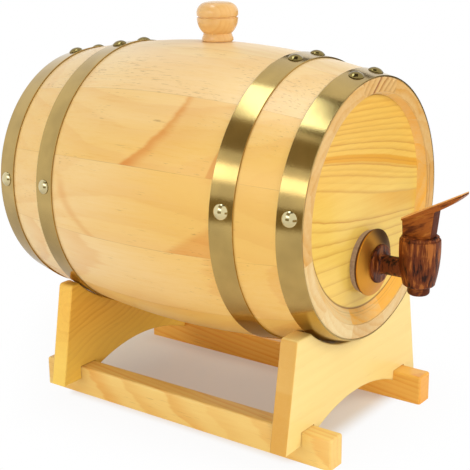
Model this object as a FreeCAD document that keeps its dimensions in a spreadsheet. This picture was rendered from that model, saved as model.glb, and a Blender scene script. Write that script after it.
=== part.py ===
import FreeCAD, Part
import Sketcher
import math
import os
from FreeCAD import Placement, Rotation, Vector

# A 5 litre cask that lies in a two-board stand, with a wooden tap in its front head and a bung on top.
# The ground is z = 0, the cask's axis runs along Y and the tap points to -Y. Lengths are in mm.

SIZES = {
    # cask
    "cask_length": 266.0,
    "axis_height": 161.0,        # the cask's axis above the ground
    "bilge_radius": 104.6,       # outside, at the middle
    "end_radius": 88.8,          # outside, at the stave ends
    "stave_count": 12,
    "seam_angle": 12.0,          # first seam, from the top towards -X
    "stave_wall": 16.5,          # at the middle
    "chime_land": 9.6,           # flat ring of end grain
    "chime_depth": 5.8,          # from the stave ends to the head's face
    "lip_radius": 72.8,          # where the chime's bevel meets the head
    "croze_width": 6.0,          # groove that holds the head
    "croze_depth": 3.4,
    "croze_step": 1.2,           # the groove's inner side is lower than its outer side
    "head_wall": 14.0,
    "head_bevel": 6.0,
    "joint_gap": 0.05,
    # hoops and studs
    "hoop_width": 17.0,
    "hoop_wall": 1.0,
    "hoop_inset": 0.3,           # chime hoop back from the stave end
    "hoop_gap": 0.12,
    "quarter_inset": 55.0,       # quarter hoop's middle from the stave ends
    "stud_radius": 5.2,
    "stud_height": 2.6,
    "nail_radius": 1.2,
    "nail_length": 9.0,
    "stud_lap_angle": 8.0,       # the pair beside the top
    "stud_side_angle": 84.5,
    "stud_skew": 2.2,            # the side studs sit lower towards the rear
    # bung
    "bung_offset": 4.0,          # beside the line through the top
    "knob_radius": 14.8,
    "knob_height": 22.6,         # above the neck ring
    "knob_groove": 11.9,         # above the neck ring
    "neck_radius": 10.5,
    "neck_height": 5.4,          # above the stave
    "bung_depth": 21.0,          # plug below the stave's top
    "bung_taper": 0.9,           # the plug gets this much thinner
    "bung_gap": 0.3,
    # stand
    "rail_width": 16.0,
    "rail_height": 21.7,
    "rail_overhang": 29.2,       # past the boards' middles
    "rail_round": 1.8,
    "board_wall": 13.4,
    "board_front_inset": 17.7,   # board's middle from the cask's front end
    "board_rear_inset": 49.1,    # board's middle from the cask's rear end
    "horn_drop": 70.0,           # the boards' tops below the cask's axis
    "horn_land": 4.3,            # flat on top of the rear board's horns
    "board_splay": 13.6,         # each side is wider at the foot
    "leg_outside": 18.6,         # leg's width outside the rail
    "foot_height": 11.5,         # leg's tip above the ground
    "arch_foot": 14.5,
    "arch_rise": 11.9,
    "horn_round": 2.4,
    "board_round": 1.2,          # along the board's edges
    "seat_gap": 0.3,
    "screw_radius": 2.0,
    "screw_head_radius": 4.0,
    "screw_length": 38.0,
    "screw_inset": 1.0,
    # tap
    "tap_drop": 37.0,            # tap's axis below the cask's axis
    "plug_reach": 34.9,          # plug's axis in front of the stave ends
    "washer_show": 5.9,          # between the disc's rim and the head
    "washer_radius": 23.0,       # behind the disc
    "washer_foot_radius": 21.4,  # on the head
    "disc_radius": 23.2,
    "disc_dome": 3.9,            # the disc's middle stands in front of its rim
    "disc_wall": 0.9,
    "disc_round": 0.4,
    "flange_radius": 13.4,
    "flange_wall": 2.1,
    "flange_round": 1.2,
    "tap_neck_radius": 6.6,
    "neck_cove": 2.4,            # where the neck widens into the flange
    "shank_radius": 8.2,
    "shank_tip_radius": 7.2,
    "shank_inside": 12.0,        # past the head's inner face
    "bore_radius": 3.0,
    "tap_top": 24.4,             # body's top above the tap's axis
    "tap_foot": 9.8,             # body's foot below the tap's axis
    "body_radius": 13.7,
    "body_top_radius": 13.1,
    "body_foot_radius": 10.9,
    "body_belly": 15.0,          # height of the widest place
    "body_round": 1.7,
    "plug_top_radius": 8.6,
    "plug_foot_radius": 7.7,
    "plug_gap": 0.05,
    "spout_radius": 7.5,
    "spout_length": 6.4,
    "spout_round": 2.2,
    "key_gap": 0.3,
    "key_wall": 10.0,
    "key_bevel": 1.0,
    "key_foot_half": 9.6,        # front edge at the foot
    "key_back_foot": 11.2,       # rear edge at the foot
    "key_top_half": 11.8,
    "key_back_height": 9.5,
    "key_front_height": 18.4,
    "lever_half": 5.8,
    "lever_rise": 25.6,          # top of the lever's tip above its rear end
    "lever_reach": 34.4,         # lever's tip from the plug's axis
    "lever_wall": 4.9,           # at the key's front edge
    "lever_heel": 2.0,           # at its rear end
    "lever_tip_wall": 1.6,
    "lever_belly": 1.4,          # the free part's underside bulges down
    "lever_tip_round": 3.5,
    "lever_round": 0.7,
}


# A number from the sheet that remembers its formula, so that one line gives a size and what it is bound to.
def formula_of(value):
    return getattr(value, "formula", repr(float(value)))


def joined(first, sign, second, value):
    return Size(value, f"({formula_of(first)} {sign} {formula_of(second)})")


class Size(float):
    def __new__(cls, value, formula):
        size = float.__new__(cls, value)
        size.formula = formula
        return size

    def __add__(self, other):
        return joined(self, "+", other, float(self) + float(other))

    def __radd__(self, other):
        return joined(other, "+", self, float(other) + float(self))

    def __sub__(self, other):
        return joined(self, "-", other, float(self) - float(other))

    def __rsub__(self, other):
        return joined(other, "-", self, float(other) - float(self))

    def __mul__(self, other):
        return joined(self, "*", other, float(self) * float(other))

    def __rmul__(self, other):
        return joined(other, "*", self, float(other) * float(self))

    def __truediv__(self, other):
        return joined(self, "/", other, float(self) / float(other))

    def __neg__(self):
        return Size(-float(self), f"(0 - {self.formula})")


def root(value):
    return Size(math.sqrt(value), f"sqrt({formula_of(value)})")


def larger(first, second):
    return Size(max(first, second), f"max({formula_of(first)}; {formula_of(second)})")


doc = FreeCAD.newDocument("cask_dispenser")
sheet = doc.addObject("Spreadsheet::Sheet", "Sizes")
for row, (name, number) in enumerate(SIZES.items(), 1):
    sheet.set(f"A{row}", name)
    sheet.set(f"B{row}", str(number))
    sheet.setAlias(f"B{row}", name)
doc.recompute()


class Sizes:
    def __getattr__(self, name):
        return Size(float(getattr(sheet, name)), f"Sizes.{name}")


s = Sizes()


# ---------------------------------------------------------------- helpers
def new_body(name):
    return doc.addObject("PartDesign::Body", name)


def plane_of(body, role):
    return next(item for item in body.Origin.OriginFeatures if item.Role == role)


def pin_point(sketch, geo, pos, point, tag):
    """Fixes one sketch point at its two formulas; a zero puts it on the axis."""
    for letter, kind, value, axis in (("u", "DistanceX", point[0], -2), ("v", "DistanceY", point[1], -1)):
        if abs(float(value)) < 1e-9:
            sketch.addConstraint(Sketcher.Constraint("PointOnObject", geo, pos, axis))
            continue
        index = sketch.addConstraint(Sketcher.Constraint(kind, -1, 1, geo, pos, float(value)))
        sketch.renameConstraint(index, f"{tag}{letter}")
        sketch.setExpression(f"Constraints.{tag}{letter}", formula_of(value))


def end_near(sketch, geo, point):
    return 1 if (sketch.getPoint(geo, 1) - point).Length < (sketch.getPoint(geo, 2) - point).Length else 2


def outline(body, role, points, offset=None):
    """Closed sketch through the points; ("via", u, v) bends the side it stands in into an arc."""
    sketch = body.newObject("Sketcher::SketchObject", f"{body.Name}_outline")
    sketch.AttachmentSupport = (plane_of(body, role), [""])
    sketch.MapMode = "FlatFace"
    if offset is not None:
        sketch.setExpression("AttachmentOffset.Base.z", formula_of(offset))
    corners = [p for p in points if p[0] != "via"]
    after = {}
    for index, point in enumerate(points):
        if point[0] == "via":
            after[sum(p[0] != "via" for p in points[:index]) - 1] = point[1:]
    flat = [Vector(float(u), float(v), 0) for u, v in corners]
    sides = []
    for index, start in enumerate(flat):
        end = flat[(index + 1) % len(flat)]
        if index in after:
            middle = Vector(float(after[index][0]), float(after[index][1]), 0)
            sides.append(sketch.addGeometry(Part.Arc(start, middle, end)))
        else:
            sides.append(sketch.addGeometry(Part.LineSegment(start, end)))
    for index, point in enumerate(flat):
        last, this = sides[index - 1], sides[index]
        here = end_near(sketch, this, point)
        sketch.addConstraint(Sketcher.Constraint("Coincident", last, end_near(sketch, last, point), this, here))
        pin_point(sketch, this, here, corners[index], f"p{index}")
    for index, point in after.items():
        dot = sketch.addGeometry(Part.Point(Vector(float(point[0]), float(point[1]), 0)), True)
        sketch.addConstraint(Sketcher.Constraint("PointOnObject", dot, 1, sides[index]))
        pin_point(sketch, dot, 1, point, f"m{index}")
    return sketch


def circle(body, role, centre, radius, offset=None):
    sketch = body.newObject("Sketcher::SketchObject", f"{body.Name}_circle")
    sketch.AttachmentSupport = (plane_of(body, role), [""])
    sketch.MapMode = "FlatFace"
    if offset is not None:
        sketch.setExpression("AttachmentOffset.Base.z", formula_of(offset))
    flat = Vector(float(centre[0]), float(centre[1]), 0)
    ring = sketch.addGeometry(Part.Circle(flat, Vector(0, 0, 1), float(radius)))
    pin_point(sketch, ring, 3, centre, "centre")
    index = sketch.addConstraint(Sketcher.Constraint("Radius", ring, float(radius)))
    sketch.renameConstraint(index, "radius")
    sketch.setExpression("Constraints.radius", formula_of(radius))
    return sketch


def turned(body, sketch, angle=360.0, axis="V_Axis", cut=False):
    feature = body.newObject("PartDesign::Groove" if cut else "PartDesign::Revolution", f"{body.Name}_turned")
    feature.Profile = sketch
    feature.ReferenceAxis = (sketch, [axis])
    feature.Midplane = True
    if isinstance(angle, Size):
        feature.setExpression("Angle", angle.formula)
    else:
        feature.Angle = angle
    return feature


def padded(body, sketch, length, side="Symmetric", cut=False, reverse=False):
    feature = body.newObject("PartDesign::Pocket" if cut else "PartDesign::Pad", f"{body.Name}_pad")
    feature.Profile = sketch
    feature.SideType = side
    feature.Reversed = reverse
    feature.setExpression("Length", formula_of(length))
    return feature


def rounded(body, base, edges, radius):
    feature = body.newObject("PartDesign::Fillet", f"{body.Name}_round")
    feature.Base = (base, edges)
    feature.setExpression("Radius", formula_of(radius))
    return feature


def dome(radius, foot, height):
    """Points of a cap whose centre is on the axis: its bend and its top."""
    ball = (radius * radius + height * height) / (2 * height)
    return [("via", radius / 2, foot + height - ball + root(ball * ball - radius * radius / 4)), (0, foot + height)]


def bevelled(body, base, edges, size):
    feature = body.newObject("PartDesign::Chamfer", f"{body.Name}_bevel")
    feature.Base = (base, edges)
    feature.setExpression("Size", formula_of(size))
    return feature


def edges_where(shape, test):
    return [f"Edge{i}" for i, edge in enumerate(shape.Edges, 1) if test(edge)]


def place(item, x=None, y=None, z=None, axis=None, angle=None):
    """Puts a piece at its formulas, turned about one axis."""
    if axis is not None:
        item.Placement = Placement(Vector(), Rotation(axis, float(angle)))
        item.setExpression("Placement.Rotation.Angle", formula_of(angle))
    for letter, value in (("x", x), ("y", y), ("z", z)):
        if value is not None:
            item.setExpression(f"Placement.Base.{letter}", formula_of(value))
    return item


def cone(name, foot_radius, top_radius, height, pose=None, **where):
    """A round tool or pin that tapers from its foot to its top."""
    item = doc.addObject("Part::Cone", name)
    for prop, value in (("Radius1", foot_radius), ("Radius2", top_radius), ("Height", height)):
        item.setExpression(prop, formula_of(value))
    if pose is not None:
        item.Placement = pose
    return place(item, **where)


def cylinder(name, radius, height, pose=None, **where):
    item = doc.addObject("Part::Cylinder", name)
    item.setExpression("Radius", formula_of(radius))
    item.setExpression("Height", formula_of(height))
    if pose is not None:
        item.Placement = pose
    return place(item, **where)


def compound(name, items):
    group = doc.addObject("Part::Compound", name)
    group.Links = items
    return group


def drilled(name, base, tools):
    """The base piece less its holes."""
    cut = doc.addObject("Part::Cut", name)
    cut.Base = base
    cut.Tool = tools[0] if len(tools) == 1 else compound(f"{name}_holes", tools)
    return cut


pieces = {}


def keep(label, item):
    item.Label = label
    pieces[label] = item
    return item


# ---------------------------------------------------------------- the cask's curve
half = s.cask_length / 2
cask_middle = (s.plug_reach + s.lever_reach) / 2      # puts the whole dispenser's middle at y = 0
sagitta = s.bilge_radius - s.end_radius
bow = (half * half + sagitta * sagitta) / (2 * sagitta)


def girth(along):
    """Outside radius of the staves at a distance from the cask's middle."""
    return s.bilge_radius - bow + root(bow * bow - along * along)


face = half - s.chime_depth                     # plane of the heads' outer faces
groove = face - s.croze_width
inner_bilge = s.bilge_radius - s.stave_wall
inner_end = s.lip_radius + s.croze_step
pitch = 360 / s.stave_count


def make_stave(number):
    body = new_body(f"stave_body_{number:02d}")
    sketch = outline(body, "XY_Plane", [
        (s.end_radius, -half), ("via", s.bilge_radius, 0), (s.end_radius, half),
        (s.end_radius - s.chime_land, half), (s.lip_radius, face),
        (s.lip_radius + s.croze_depth, face), (s.lip_radius + s.croze_depth, groove),
        (inner_end, groove), ("via", inner_bilge, 0), (inner_end, -groove),
        (s.lip_radius + s.croze_depth, -groove), (s.lip_radius + s.croze_depth, -face),
        (s.lip_radius, -face), (s.end_radius - s.chime_land, -half)])
    turned(body, sketch, pitch)
    middle = s.seam_angle + pitch * (number - 1.5)
    return place(body, y=cask_middle, z=s.axis_height, axis=Vector(0, 1, 0), angle=-(middle + 90)), middle


# ---------------------------------------------------------------- hoops and studs
chime_hoop = half - s.hoop_inset - s.hoop_width / 2
quarter_hoop = half - s.quarter_inset
HOOPS = (("front_chime", -chime_hoop), ("front_quarter", -quarter_hoop),
         ("rear_quarter", quarter_hoop), ("rear_chime", chime_hoop))


def make_hoop(name, middle):
    front, rear = middle - s.hoop_width / 2, middle + s.hoop_width / 2
    body = new_body(f"hoop_body_{name}")
    sketch = outline(body, "XY_Plane", [
        (girth(front) + s.hoop_gap, front), (girth(front) + s.hoop_gap + s.hoop_wall, front),
        (girth(rear) + s.hoop_gap + s.hoop_wall, rear), (girth(rear) + s.hoop_gap, rear)])
    turned(body, sketch)
    return place(body, y=cask_middle, z=s.axis_height)


def stud_pose(angle, middle):
    """On the hoop's outside, pointing away from the wood."""
    slope = -middle / root(bow * bow - middle * middle)
    lean = math.degrees(math.atan(slope))
    reach = girth(middle) + s.hoop_gap + s.hoop_wall
    turn = Rotation(Vector(0, 1, 0), -float(angle)).multiply(Rotation(Vector(1, 0, 0), lean))
    radial = Rotation(Vector(0, 1, 0), -float(angle)).multVec(Vector(0, 0, float(reach)))
    return Placement(Vector(0, float(cask_middle + middle), float(s.axis_height)) + radial, turn)


def make_stud(name, pose):
    body = new_body(name)
    rim = s.stud_height * 0.2
    sketch = outline(body, "XZ_Plane", [
        (0, -s.nail_length), (s.nail_radius, -s.nail_length * 0.8), (s.nail_radius, 0), (s.stud_radius, 0),
        (s.stud_radius, rim), *dome(s.stud_radius, rim, s.stud_height - rim)])
    turned(body, sketch)
    body.Placement = pose
    return body


def nail_hole(name, pose):
    inner = pose.multiply(Placement(Vector(0, 0, -float(s.nail_length + s.joint_gap)), Rotation()))
    return cylinder(name, s.nail_radius + s.joint_gap, s.nail_length + s.stud_height, inner)


nail_holes = {}
for name, middle in HOOPS:
    studs, holes = [], []
    skew = s.stud_skew * middle / chime_hoop
    for number, angle in enumerate((s.stud_lap_angle, -s.stud_lap_angle, s.stud_side_angle + skew, -s.stud_side_angle - skew), 1):
        pose = stud_pose(angle, middle)
        studs.append(make_stud(f"stud_{name}_{number}", pose))
        holes.append((angle, nail_hole(f"nail_hole_{name}_{number}", pose)))
    nail_holes[name] = holes
    keep(f"studs_{name}", compound(f"stud_set_{name}", studs))
    keep(f"hoop_{name}", drilled(f"hoop_cut_{name}", make_hoop(name, middle), [hole for _, hole in holes]))


# ---------------------------------------------------------------- staves
def holes_in(middle):
    """Nail holes whose place round the cask lies within the stave's width."""
    near = []
    for holes in nail_holes.values():
        for angle, hole in holes:
            off = (float(angle) - float(middle) + 180) % 360 - 180
            if abs(off) < float(pitch) / 2 + 2:
                near.append(hole)
    return near


bung_top = s.axis_height + s.bilge_radius
bung_hole = cone("bung_hole", s.neck_radius + s.bung_gap - s.bung_taper * 1.2, s.neck_radius + s.bung_gap + s.bung_taper * 0.2,
                 s.bung_depth * 1.4, x=s.bung_offset, y=cask_middle, z=bung_top - s.bung_depth * 1.2)
for number in range(1, int(s.stave_count) + 1):
    body, middle = make_stave(number)
    tools = holes_in(middle)
    if number == 1:
        tools = tools + [bung_hole]
    keep(f"stave_{number:02d}", drilled(f"stave_cut_{number:02d}", body, tools) if tools else body)


# ---------------------------------------------------------------- heads
def make_head(name, side):
    """A disc whose edge fits the groove, bevelled on the inside; side is -1 in front."""
    rim = s.lip_radius + s.croze_depth - s.joint_gap
    outer, edge, back = side * face, side * (groove + s.joint_gap), side * (face - s.head_wall)
    body = new_body(name)
    sketch = outline(body, "XY_Plane", [
        (0, outer), (rim, outer), (rim, edge), (inner_end - s.joint_gap, edge),
        (inner_end - s.head_bevel, back), (0, back)])
    turned(body, sketch)
    return place(body, y=cask_middle, z=s.axis_height)


keep("head_rear", make_head("head_body_rear", 1))

# ---------------------------------------------------------------- tap, in its own frame: origin where the axes cross
plug_y = cask_middle - half - s.plug_reach
tap_z = s.axis_height - s.tap_drop
head_y = s.plug_reach + s.chime_depth                       # the head's outer face, from the plug's axis
disc_back = head_y - s.washer_show
disc_front = disc_back - s.disc_wall                        # front of the disc's rim
disc_nose = disc_front - s.disc_dome                        # front of its middle, behind the flange
flange_front = disc_nose - s.flange_wall
shank_end = head_y + s.head_wall + s.shank_inside
shank_slope = (s.shank_radius - s.shank_tip_radius) / (shank_end - disc_nose)


def at_tap(item):
    return place(item, y=plug_y, z=tap_z)


def shank_at(along):
    return s.shank_radius - shank_slope * (along - disc_nose)


tap_hole_body = new_body("tap_hole_body")
turned(tap_hole_body, outline(tap_hole_body, "XY_Plane", [
    (0, disc_nose), (shank_at(disc_nose) + s.joint_gap, disc_nose),
    (shank_at(shank_end) + s.joint_gap, shank_end), (0, shank_end)]))
tap_hole = at_tap(tap_hole_body)
keep("head_front", drilled("head_cut_front", make_head("head_body_front", -1), [tap_hole]))

washer = new_body("washer_body")
turned(washer, outline(washer, "XY_Plane", [
    (s.shank_radius + s.joint_gap, disc_back), (s.washer_radius, disc_back),
    (s.washer_foot_radius, head_y), (s.shank_radius + s.joint_gap, head_y)]))
keep("tap_washer", at_tap(washer))

# The disc is a dished plate: flat under the flange, then sloping back to its rim on the washer.
bend = s.disc_round * (1 - 0.7071)
disc_flank = s.disc_radius - s.disc_round
disc_swell = disc_nose + s.disc_dome * 0.42
disc = new_body("disc_body")
turned(disc, outline(disc, "XY_Plane", [
    (s.shank_radius + s.joint_gap, disc_nose), (s.flange_radius, disc_nose),
    ("via", (s.flange_radius + disc_flank) / 2, disc_swell), (disc_flank, disc_front),
    ("via", s.disc_radius - bend, disc_front + bend), (s.disc_radius, disc_front + s.disc_round),
    (s.disc_radius, disc_back), (disc_flank, disc_back),
    ("via", (s.flange_radius + disc_flank) / 2, disc_swell + s.disc_wall),
    (s.flange_radius, disc_nose + s.disc_wall), (s.shank_radius + s.joint_gap, disc_nose + s.disc_wall)]))
keep("tap_disc", at_tap(disc))

# The tap's body: one turned piece with its shank across it.
tap_body = new_body("tap_body_wood")
fold = s.body_round * (1 - 0.7071)
low = -s.tap_foot
turned(tap_body, outline(tap_body, "XZ_Plane", [
    (0, low), (s.body_foot_radius - s.body_round, low), ("via", s.body_foot_radius - fold, low + fold),
    (s.body_foot_radius, low + s.body_round), ("via", s.body_radius, s.body_belly),
    (s.body_top_radius, s.tap_top - s.body_round),
    ("via", s.body_top_radius - fold * 0.8, s.tap_top - fold * 1.1),
    (s.body_top_radius - s.body_round * 0.8, s.tap_top), (0, s.tap_top)]))
curl = s.flange_round * (1 - 0.7071)
scoop = s.neck_cove * (1 - 0.7071)
turned(tap_body, outline(tap_body, "XY_Plane", [
    (0, 0), (s.tap_neck_radius, 0), (s.tap_neck_radius, flange_front - s.neck_cove),
    ("via", s.tap_neck_radius + scoop, flange_front - scoop), (s.tap_neck_radius + s.neck_cove, flange_front),
    (s.flange_radius - s.flange_round, flange_front),
    ("via", s.flange_radius - curl, flange_front + curl), (s.flange_radius, flange_front + s.flange_round),
    (s.flange_radius, disc_nose), (s.shank_radius, disc_nose), (s.shank_tip_radius, shank_end), (0, shank_end)]))
socket_top, socket_foot = s.plug_top_radius + s.plug_gap, s.plug_foot_radius + s.plug_gap
turned(tap_body, outline(tap_body, "XZ_Plane", [
    (0, low), (socket_foot, low), (socket_top, s.tap_top), (0, s.tap_top)]), cut=True)
turned(tap_body, outline(tap_body, "XY_Plane", [
    (0, 0), (s.bore_radius, 0), (s.bore_radius, shank_end), (0, shank_end)]), cut=True)
keep("tap_body", at_tap(tap_body))

# The key: plug with an L-shaped bore, spout tip, wedge head and lever.
key = new_body("tap_key_wood")
tip = low - s.spout_length
nose = s.spout_round * (1 - 0.7071)
head_foot = s.tap_top + s.key_gap
turned(key, outline(key, "XZ_Plane", [
    (0, tip), (s.spout_radius - s.spout_round, tip), ("via", s.spout_radius - nose, tip + nose),
    (s.spout_radius, tip + s.spout_round), (s.spout_radius, low), (s.plug_foot_radius, low),
    (s.plug_top_radius, s.tap_top), (s.plug_top_radius * 0.85, head_foot), (0, head_foot)]))
back_top = head_foot + s.key_back_height
front_top = head_foot + s.key_front_height
wedge = padded(key, outline(key, "YZ_Plane", [
    (-s.key_foot_half, head_foot), (s.key_back_foot, head_foot), (s.key_top_half, back_top),
    (-s.key_top_half, front_top)]), s.key_wall)
doc.recompute()
corner_edges = edges_where(wedge.Shape, lambda e: abs(abs(e.CenterOfMass.x) - float(s.key_wall) / 2) < 0.01
                           and len({round(v.Z, 2) for v in e.Vertexes}) == 2
                           and min(v.Z for v in e.Vertexes) < float(head_foot) + 0.01)
bevelled(key, wedge, corner_edges, s.key_bevel)
lever_end = back_top + s.lever_rise
padded(key, outline(key, "YZ_Plane", [
    (s.key_top_half, back_top), (s.key_top_half, back_top + s.lever_heel),
    (-s.key_top_half, front_top + s.lever_wall), (-s.lever_reach, lever_end),
    (-s.lever_reach, lever_end - s.lever_tip_wall),
    ("via", (-s.key_top_half - s.lever_reach) / 2, (front_top + lever_end - s.lever_tip_wall) / 2 - s.lever_belly),
    (-s.key_top_half, front_top)]), s.lever_half * 2)


def on_blade_top(edge):
    """The long edges and the tip of the lever's upper face."""
    rise = float(lever_end - front_top - s.lever_wall) / float(s.lever_reach - s.key_top_half)
    return all(abs(v.Z - float(lever_end) + rise * (v.Y + float(s.lever_reach))) < 0.02
               for v in edge.Vertexes) and edge.CenterOfMass.y < -float(s.key_top_half)


corner = s.lever_tip_round
swing = corner * (1 - 0.7071)
wing, end = s.lever_half, -s.lever_reach
padded(key, outline(key, "XY_Plane", [
    (-wing, end + corner), ("via", swing - wing, end + swing), (corner - wing, end), (wing - corner, end),
    ("via", wing - swing, end + swing), (wing, end + corner), (wing + 2, end + corner), (wing + 2, end - 2),
    (-wing - 2, end - 2), (-wing - 2, end + corner)]), lever_end + 1, "One side", cut=True, reverse=True)
doc.recompute()
blade_edges = edges_where(key.Tip.Shape, lambda e: on_blade_top(e))
rounded(key, key.Tip, blade_edges, s.lever_round)
padded(key, circle(key, "XY_Plane", (0, 0), s.bore_radius), -tip, "One side", cut=True)
turned(key, outline(key, "XY_Plane", [
    (0, 0), (s.bore_radius, 0), (s.bore_radius, s.plug_top_radius * 1.5), (0, s.plug_top_radius * 1.5)]), cut=True)
keep("tap_key", at_tap(key))

# ---------------------------------------------------------------- bung, in its own frame: origin at the stave's top
bung = new_body("bung_wood")
ring = s.neck_height
wide = ring + s.knob_groove
crown = ring + s.knob_height
notch = 0.7
turned(bung, outline(bung, "XZ_Plane", [
    (0, -s.bung_depth), (s.neck_radius - s.bung_taper - 1, -s.bung_depth),
    (s.neck_radius - s.bung_taper, 1 - s.bung_depth), (s.neck_radius, 0), (s.neck_radius, ring),
    (s.neck_radius - notch * 0.5, ring), ("via", s.knob_radius * 0.94, ring + s.knob_groove * 0.48),
    (s.knob_radius, wide - notch),
    (s.knob_radius - notch, wide), (s.knob_radius, wide + notch),
    ("via", s.knob_radius * 0.84, crown - s.knob_height * 0.14), (s.knob_radius * 0.55, crown - notch),
    *dome(s.knob_radius * 0.55, crown - notch, notch)]))
keep("bung", place(bung, x=s.bung_offset, y=cask_middle, z=bung_top))

# ---------------------------------------------------------------- stand
front_board = cask_middle - half + s.board_front_inset
rear_board = cask_middle + half - s.board_rear_inset
stand_middle = (front_board + rear_board) / 2
board_top = s.axis_height - s.horn_drop


def seat_under(board_y, side):
    """Cradle radius that clears the widest wood and hoop over the board; side is -1 in front."""
    inner = board_y - side * s.board_wall / 2 - cask_middle
    banded = inner if side > 0 else -(chime_hoop - s.hoop_width / 2)
    return larger(girth(inner), girth(banded) + s.hoop_gap + s.hoop_wall) + s.seat_gap


def horn_at(seat):
    """Half of the cradle's width at the boards' tops."""
    return root(seat * seat - s.horn_drop * s.horn_drop)


top_half = horn_at(seat_under(rear_board, 1)) + s.horn_land
foot_half = top_half + s.board_splay
rail_outside = foot_half - s.leg_outside
rail_inside = rail_outside - s.rail_width
screw_x = rail_inside + s.rail_width / 2


def make_board(name, board_y, side):
    seat = seat_under(board_y, side)
    horn = horn_at(seat)
    body = new_body(name)
    sketch = outline(body, "XZ_Plane", [
        (-foot_half, s.foot_height), (-rail_outside, s.foot_height), (-rail_outside, s.rail_height),
        (-rail_inside, s.rail_height), (-rail_inside, s.arch_foot), ("via", 0, s.arch_foot + s.arch_rise),
        (rail_inside, s.arch_foot), (rail_inside, s.rail_height), (rail_outside, s.rail_height),
        (rail_outside, s.foot_height), (foot_half, s.foot_height), (top_half, board_top),
        (horn, board_top), ("via", 0, s.axis_height - seat), (-horn, board_top), (-top_half, board_top)])
    slab = padded(body, sketch, s.board_wall)
    doc.recompute()
    corners = edges_where(slab.Shape, lambda e: all(
        abs(abs(v.X) - float(top_half)) < 0.01 and abs(v.Z - float(board_top)) < 0.01 for v in e.Vertexes))
    horns = rounded(body, slab, corners, s.horn_round)
    doc.recompute()
    rims = edges_where(horns.Shape, lambda e: on_face(e, s.board_wall / 2) and not in_notch(e))
    rounded(body, horns, rims, s.board_round)
    return place(body, y=board_y)


def on_face(edge, depth):
    return all(abs(abs(v.Y) - float(depth)) < 0.01 for v in edge.Vertexes) and len(
        {round(v.Y) for v in edge.Vertexes}) == 1


def in_notch(edge):
    """The straight cuts over the rails stay sharp, so that they seat."""
    middle = edge.CenterOfMass
    inside = float(rail_inside) - 0.01 < abs(middle.x) < float(rail_outside) + 0.01
    return inside and middle.z < float(s.rail_height) + 0.01


def make_rail(name, side):
    body = new_body(name)
    near, far = side * rail_inside, side * rail_outside
    sketch = outline(body, "XZ_Plane", [(near, 0), (far, 0), (far, s.rail_height), (near, s.rail_height)])
    bar = padded(body, sketch, rear_board - front_board + 2 * s.rail_overhang)
    doc.recompute()
    rounded(body, bar, edges_where(bar.Shape, lambda e: e.CenterOfMass.z > 0.01), s.rail_round)
    return place(body, y=stand_middle)


def make_screw(name, x, y):
    body = new_body(name)
    neck = s.screw_head_radius - s.screw_radius
    turned(body, outline(body, "XZ_Plane", [
        (0, 0), (s.screw_head_radius, 0), (s.screw_radius, neck), (s.screw_radius, s.screw_length * 0.85),
        (0, s.screw_length)]))
    return place(body, x=x, y=y, z=s.screw_inset)


def screw_hole(name, x, y):
    gap = s.joint_gap
    flare = cone(f"{name}_flare", s.screw_head_radius + gap + s.screw_inset, s.screw_radius + gap,
                 s.screw_head_radius - s.screw_radius + s.screw_inset, x=x, y=y, z=s.screw_inset * 0)
    shaft = cylinder(f"{name}_shaft", s.screw_radius + gap, s.screw_length + gap, x=x, y=y, z=s.screw_inset)
    fuse = doc.addObject("Part::Fuse", name)
    fuse.Base, fuse.Tool = flare, shaft
    return fuse


screws, rail_holes, board_holes = [], {-1: [], 1: []}, {-1: [], 1: []}
for end, board_y in ((-1, front_board), (1, rear_board)):
    for side in (-1, 1):
        tag = f"{'front' if end < 0 else 'rear'}_{'left' if side < 0 else 'right'}"
        screws.append(make_screw(f"screw_{tag}", side * screw_x, board_y))
        hole = screw_hole(f"screw_hole_{tag}", side * screw_x, board_y)
        rail_holes[side].append(hole)
        board_holes[end].append(hole)
keep("stand_screws", compound("screw_set", screws))
keep("stand_rail_left", drilled("rail_cut_left", make_rail("rail_left", -1), rail_holes[-1]))
keep("stand_rail_right", drilled("rail_cut_right", make_rail("rail_right", 1), rail_holes[1]))
keep("stand_board_front", drilled("board_cut_front", make_board("board_front", front_board, -1), board_holes[-1]))
keep("stand_board_rear", drilled("board_cut_rear", make_board("board_rear", rear_board, 1), board_holes[1]))

# ---------------------------------------------------------------- check and write
doc.recompute()
broken = [f"{o.Label}: {o.State}" for o in doc.Objects if {"Invalid", "Error"} & set(o.State)]
broken += [label for label, item in pieces.items() if item.Shape.isNull() or not item.Shape.isValid()]
if broken:
    raise RuntimeError("these pieces failed: " + "; ".join(broken))
os.makedirs("parts", exist_ok=True)
for label, item in pieces.items():
    item.Shape.exportStep(f"parts/{label}.step")
    print(f"{label:22s} solids {len(item.Shape.Solids):2d}  volume {item.Shape.Volume / 1000:9.2f} cm3")
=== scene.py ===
# %% [markdown]
# # A small cask with a wooden tap
# The construction model is the fixed frame of this scene. Each piece that
# shows is made again here a little finer than the construction needs, and
# gets the wood or metal that it is made of.

# %% Load the construction model
import math

import bmesh
import bpy
from mathutils import Matrix, Vector


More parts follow.
